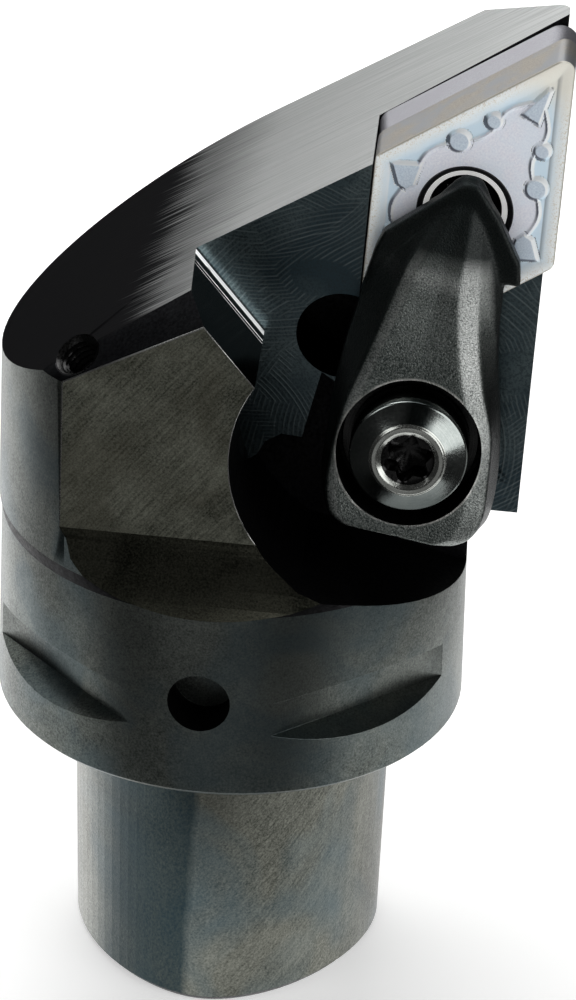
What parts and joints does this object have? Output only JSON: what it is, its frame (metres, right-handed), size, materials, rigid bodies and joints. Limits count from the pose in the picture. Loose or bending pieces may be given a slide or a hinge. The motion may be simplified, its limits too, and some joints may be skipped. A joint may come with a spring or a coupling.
{
  "type": "external turning cutting unit",
  "caption": "Turning head on a polygon taper shank with gripper flange, rhombic insert on a shim, and a sprung top clamp drawn down by a socket screw.",
  "frame": {"origin": "centre of the flange's contact face, on the shank axis", "axes": "+Z along the tool axis from the contact face toward the cutting corner, +X to the side of the cutting corner, -Y out of the rake side"},
  "size_m": [0.0382, 0.0322, 0.0696],
  "materials": {
    "burnished_steel": "dark burnished, ground and milled",
    "forged_steel": "grained black oxide",
    "screw_steel": "turned and polished, darkened",
    "spring_steel": "drawn wire, satin",
    "coated_carbide": "pale violet-grey hard coating with bright ground edges",
    "shim_carbide": "ground lilac-grey"
  },
  "bodies": {
    "holder": {"tool_body": "burnished_steel", "shim": "shim_carbide", "shim_screw": "screw_steel", "insert": "coated_carbide", "coolant_plug": "spring_steel", "clamp_spring": "spring_steel"},
    "clamp_unit": {"clamp": "forged_steel", "clamp_washer": "screw_steel"},
    "screw_unit": {"clamp_screw": "screw_steel", "retaining_ring": "spring_steel"}
  },
  "joints": [
    {"name": "clamp_lift", "type": "slide", "parent": "holder", "child": "clamp_unit", "axis": [0.0793, -0.9908, 0.11], "range_m": [0, 0.0035], "deforming": ["clamp_spring"]},
    {"name": "clamp_screw_turn", "type": "hinge", "parent": "clamp_unit", "child": "screw_unit", "pos_m": [0.0124, -0.0037, 0.02361], "axis": [0.0793, -0.9908, 0.11], "range_deg": [0, 1575]}
  ],
  "couplings": [
    {"joint": "clamp_screw_turn", "follows": "clamp_lift", "rad_per_m": 7854}
  ]
}
